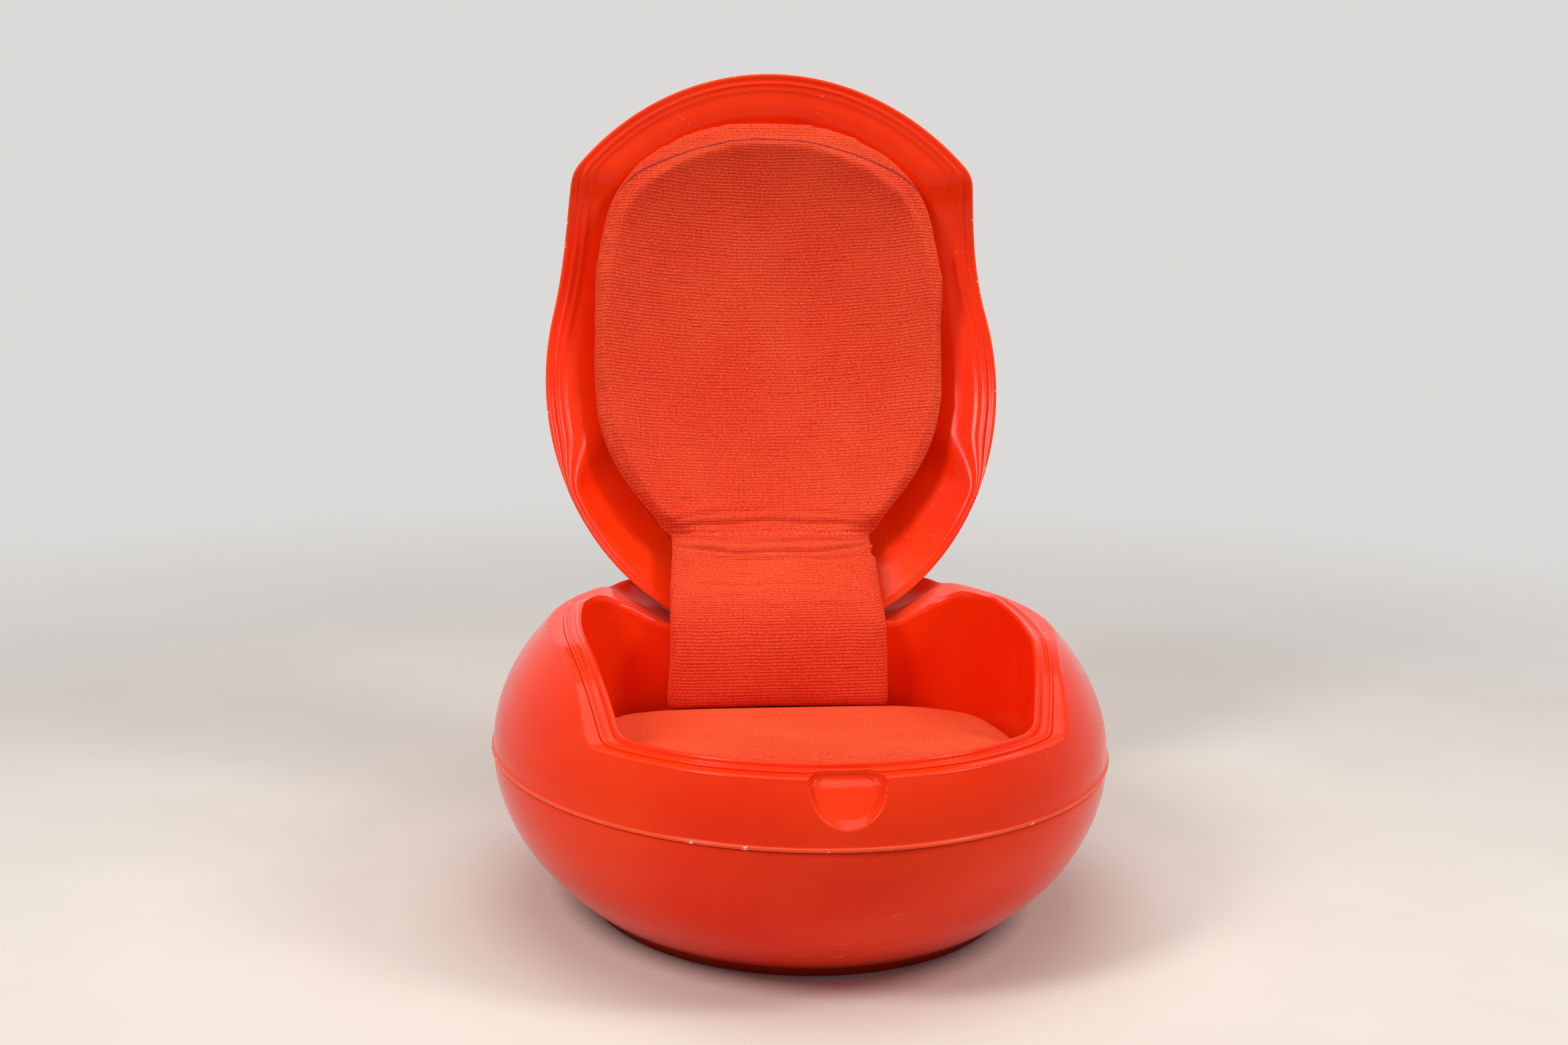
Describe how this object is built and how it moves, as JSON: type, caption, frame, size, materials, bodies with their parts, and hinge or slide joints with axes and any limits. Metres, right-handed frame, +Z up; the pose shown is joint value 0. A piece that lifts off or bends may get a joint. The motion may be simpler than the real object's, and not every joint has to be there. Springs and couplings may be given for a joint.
{
  "type": "folding egg chair",
  "caption": "Low egg-shaped lounge chair in glossy moulded plastic; a hinged lid swings up as the backrest and folds down to close the egg over the cushioned seat tub.",
  "frame": {"origin": "centre of the flat foot, on the floor", "axes": "+Z up, -Y towards the front of the chair, +X towards the right of someone who looks at it from the front; the hinge axis runs along X"},
  "size_m": [0.76, 0.891, 1.015],
  "materials": {
    "lacquer": "glossy orange-red lacquer on moulded plastic",
    "knit": "ribbed orange-red wool-blend knit over foam",
    "steel": "plain bent steel plate",
    "zinc": "zinc-plated fasteners",
    "rubber": "black rubber"
  },
  "bodies": {
    "base": {"back_pad_lower": "knit", "backing_plate_left": "steel", "backing_plate_right": "steel", "bracket_bolts_left": "zinc", "bracket_bolts_right": "zinc", "hinge_bracket_left": "steel", "hinge_bracket_right": "steel", "hinge_pin_left": "steel", "hinge_pin_right": "steel", "lid_stop_left": "rubber", "lid_stop_right": "rubber", "lower_shell": "lacquer", "seat_cushion": "knit", "seat_tub": "lacquer", "upper_shell": "lacquer"},
    "lid": {"back_pad_upper": "knit", "hinge_leaf_left": "steel", "hinge_leaf_right": "steel", "leaf_screws_left": "zinc", "leaf_screws_right": "zinc", "lid_shell": "lacquer", "pad_press_studs": "zinc"}
  },
  "joints": [
    {"name": "lid_hinge", "type": "hinge", "parent": "base", "child": "lid", "pos_m": [0, 0.2536, 0.3566], "axis": [1, 0, 0], "range_deg": [0, 108.5]}
  ]
}
